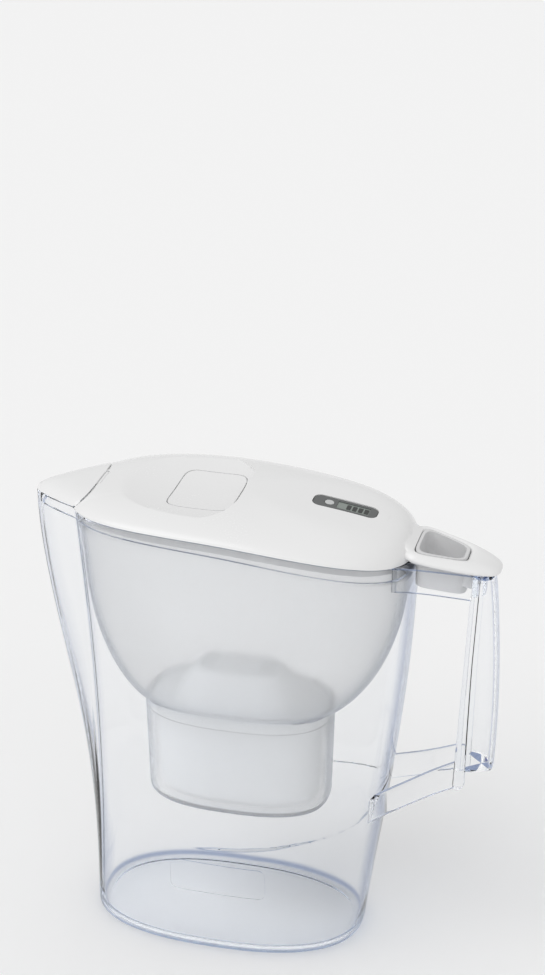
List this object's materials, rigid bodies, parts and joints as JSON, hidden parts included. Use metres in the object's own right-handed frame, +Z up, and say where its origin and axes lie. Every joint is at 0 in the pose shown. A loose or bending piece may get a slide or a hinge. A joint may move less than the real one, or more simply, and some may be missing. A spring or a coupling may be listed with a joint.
{
  "type": "water filter pitcher",
  "caption": "Clear oval jug with spout and open grip handle, drop-in filter funnel, lift-out cartridge and a domed lid with fill flap, pour flap, thumb ring and change indicator.",
  "frame": {"origin": "middle of the jug's base, on the table", "axes": "+X towards the handle, -X towards the spout, +Y across the jug, +Z up"},
  "size_m": [0.2658, 0.1098, 0.2761],
  "materials": {
    "clear_jug": "clear, glossy",
    "clear_funnel": "clear with a faint smoke tint, glossy",
    "cartridge_white": "white, fine satin",
    "granules": "dark granules",
    "strainer_mesh": "woven mesh",
    "lid_white": "white, smooth gloss",
    "insert_grey": "pale grey, satin",
    "steel": "bright",
    "gauge_dark": "dark grey, satin",
    "display_panel": "smooth",
    "display_ink": "dark segments",
    "button_grey": "satin",
    "board_green": "coated board"
  },
  "bodies": {
    "jug": {"jug": "clear_jug"},
    "funnel": {"funnel": "clear_funnel"},
    "cartridge": {"cartridge_shell": "cartridge_white", "cartridge_hood": "cartridge_white", "filter_media": "granules", "inlet_strainer": "strainer_mesh", "outlet_strainer": "strainer_mesh"},
    "lid": {"lid_shell": "lid_white", "lid_insert": "insert_grey", "flap_pin": "steel", "flap_spring": "steel", "beak_pin": "steel", "gauge_case": "gauge_dark", "gauge_face": "gauge_dark", "display": "display_panel", "display_bars": "display_ink", "snap_dome": "steel", "circuit_board": "board_green", "coin_cell": "steel"},
    "fill_flap": {"fill_flap": "lid_white"},
    "spout_flap": {"spout_flap": "lid_white"},
    "button": {"gauge_button": "button_grey"}
  },
  "joints": [
    {"name": "funnel_lift", "type": "slide", "parent": "jug", "child": "funnel", "axis": [0, 0, 1], "range_m": [0, 0.142]},
    {"name": "lid_lift", "type": "slide", "parent": "funnel", "child": "lid", "axis": [0, 0, 1], "range_m": [0, 0.109]},
    {"name": "cartridge_lift", "type": "slide", "parent": "funnel", "child": "cartridge", "axis": [0, 0, 1], "range_m": [0, 0.1718]},
    {"name": "fill_flap_hinge", "type": "hinge", "parent": "lid", "child": "fill_flap", "pos_m": [-0.0332, 0, 0.26529], "axis": [0, -1, 0], "range_deg": [-55, 0], "stiffness_Nm_per_rad": 0.012, "springref_deg": 20.05, "deforming": ["flap_spring"]},
    {"name": "spout_flap_hinge", "type": "hinge", "parent": "lid", "child": "spout_flap", "pos_m": [-0.0722, 0, 0.26992], "axis": [0, -1, 0], "range_deg": [-50, 0]},
    {"name": "button_press", "type": "slide", "parent": "lid", "child": "button", "axis": [0.1564, 0, 0.9877], "range_m": [-0.0008, 0], "stiffness_N_per_m": 400, "springref_m": 0.0004, "deforming": ["snap_dome"]}
  ],
  "couplings": [
    {"joint": "cartridge_lift", "follows": "lid_lift", "ratio": 1.575}
  ]
}
